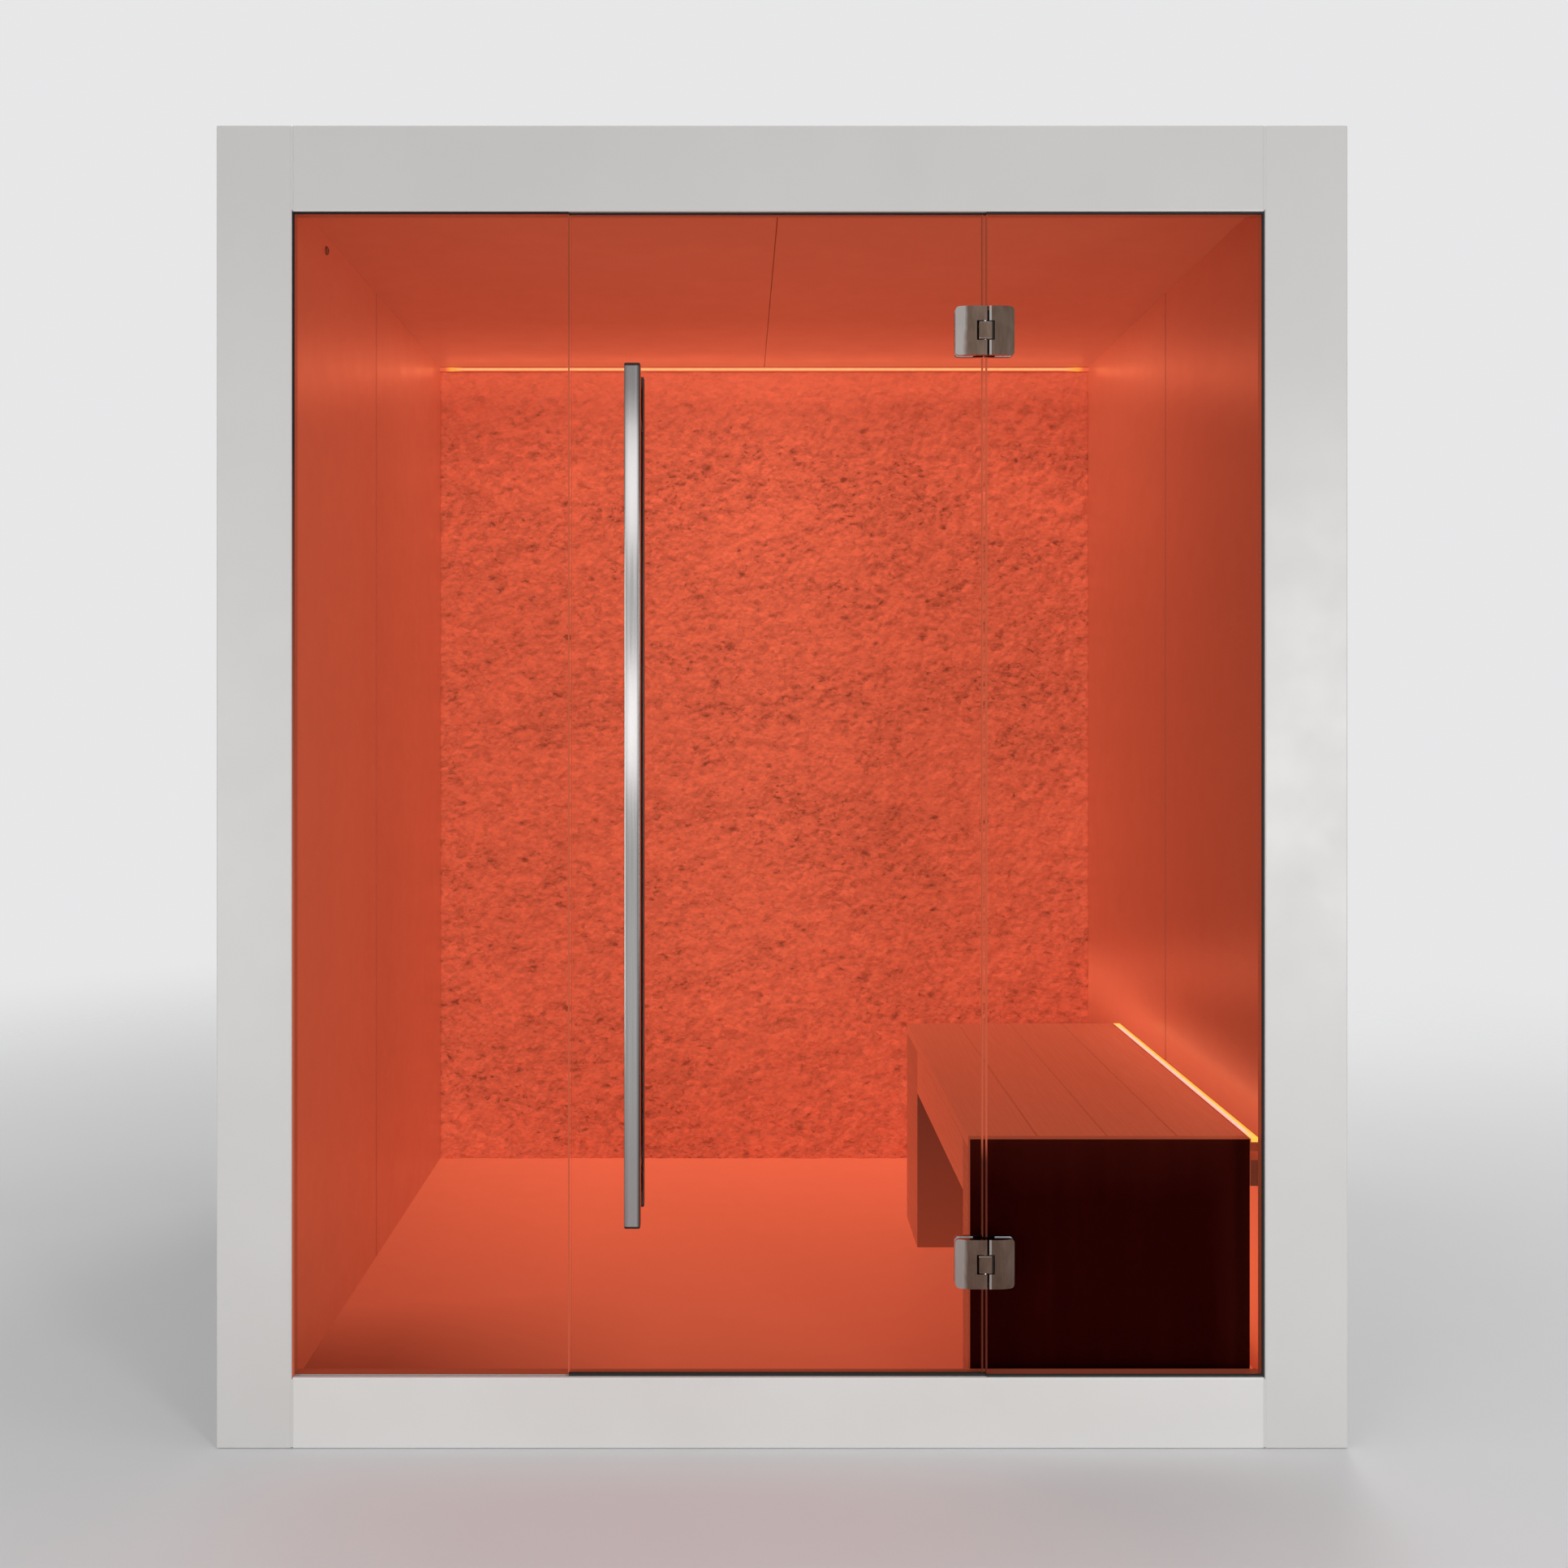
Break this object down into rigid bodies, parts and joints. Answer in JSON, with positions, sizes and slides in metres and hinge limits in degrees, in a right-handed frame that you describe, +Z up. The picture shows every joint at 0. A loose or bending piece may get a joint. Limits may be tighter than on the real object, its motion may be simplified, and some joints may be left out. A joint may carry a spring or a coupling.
{
  "type": "salt therapy cabin",
  "caption": "Walk-in salt therapy cabin with a white frame, frameless glass front with a hinged door and bar handle, a salt wall, a plank bench and light lines.",
  "frame": {"origin": "on the ground, in the middle of the overall width and of the overall depth including the outer handle", "axes": "+Z up, +X to the right seen from the front, -Y out of the glass front towards the viewer"},
  "size_m": [1.8, 1.554, 2.105],
  "materials": {
    "white_board": "white satin lacquer",
    "lit_panel": "smooth lacquered panel, coloured as it looks under the warm red light",
    "lit_deck": "smooth deck, coloured as it looks under the warm red light",
    "lit_salt": "rough crystalline salt, coloured as it looks under the warm red light",
    "bench_boards": "smooth planks, coloured as they look under the warm red light",
    "dark_board": "dark satin panel",
    "timber": "sawn softwood",
    "clear_glass": "clear toughened glass with polished edges",
    "chrome": "polished",
    "brushed_steel": "fine brushed along the bar",
    "aluminium": "anodised",
    "light_lens": "opal lens, lit",
    "black_plastic": "fine matte",
    "rubber": "matte"
  },
  "bodies": {
    "cabin": {"left_post": "white_board", "right_post": "white_board", "header": "white_board", "sill": "white_board", "left_wall_cladding": "white_board", "right_wall_cladding": "white_board", "back_cladding": "white_board", "roof_panel": "white_board", "left_wall_studs": "timber", "right_wall_studs": "timber", "back_studs": "timber", "ceiling_joists": "timber", "back_lining": "timber", "left_wall_lining_front": "lit_panel", "left_wall_lining_rear": "lit_panel", "right_wall_lining_front": "lit_panel", "right_wall_lining_rear": "lit_panel", "ceiling_lining_left": "lit_panel", "ceiling_lining_right": "lit_panel", "salt_wall": "lit_salt", "floor_deck": "lit_deck", "floor_bearer_left": "rubber", "floor_bearer_centre": "rubber", "floor_bearer_right": "rubber", "left_glass": "clear_glass", "right_glass": "clear_glass", "hinge_top_fixed_plate": "chrome", "hinge_top_fixed_back_plate": "chrome", "hinge_top_pin": "brushed_steel", "hinge_bottom_fixed_plate": "chrome", "hinge_bottom_fixed_back_plate": "chrome", "hinge_bottom_pin": "brushed_steel", "bench_plank_1": "bench_boards", "bench_plank_2": "bench_boards", "bench_plank_3": "bench_boards", "bench_plank_4": "bench_boards", "bench_apron_aisle": "bench_boards", "bench_apron_wall": "bench_boards", "bench_end_panel": "dark_board", "bench_front_leg": "bench_boards", "bench_rear_leg": "bench_boards", "bench_wall_rail": "dark_board", "wall_led_profile": "aluminium", "wall_led_lens": "light_lens", "bench_led_profile": "aluminium", "bench_led_lens": "light_lens", "led_driver": "aluminium", "salt_generator": "black_plastic", "salt_nozzle": "black_plastic"},
    "door": {"door_glass": "clear_glass", "hinge_top_door_plate": "chrome", "hinge_top_door_back_plate": "chrome", "hinge_bottom_door_plate": "chrome", "hinge_bottom_door_back_plate": "chrome", "handle_outer_bar": "brushed_steel", "handle_inner_bar": "brushed_steel", "handle_standoff_top_outer": "brushed_steel", "handle_standoff_top_inner": "brushed_steel", "handle_standoff_bottom_outer": "brushed_steel", "handle_standoff_bottom_inner": "brushed_steel"}
  },
  "joints": [
    {"name": "door_swing", "type": "hinge", "parent": "cabin", "child": "door", "pos_m": [0.323, -0.7223, 1.0415], "axis": [0, 0, 1], "range_deg": [0, 90]}
  ]
}
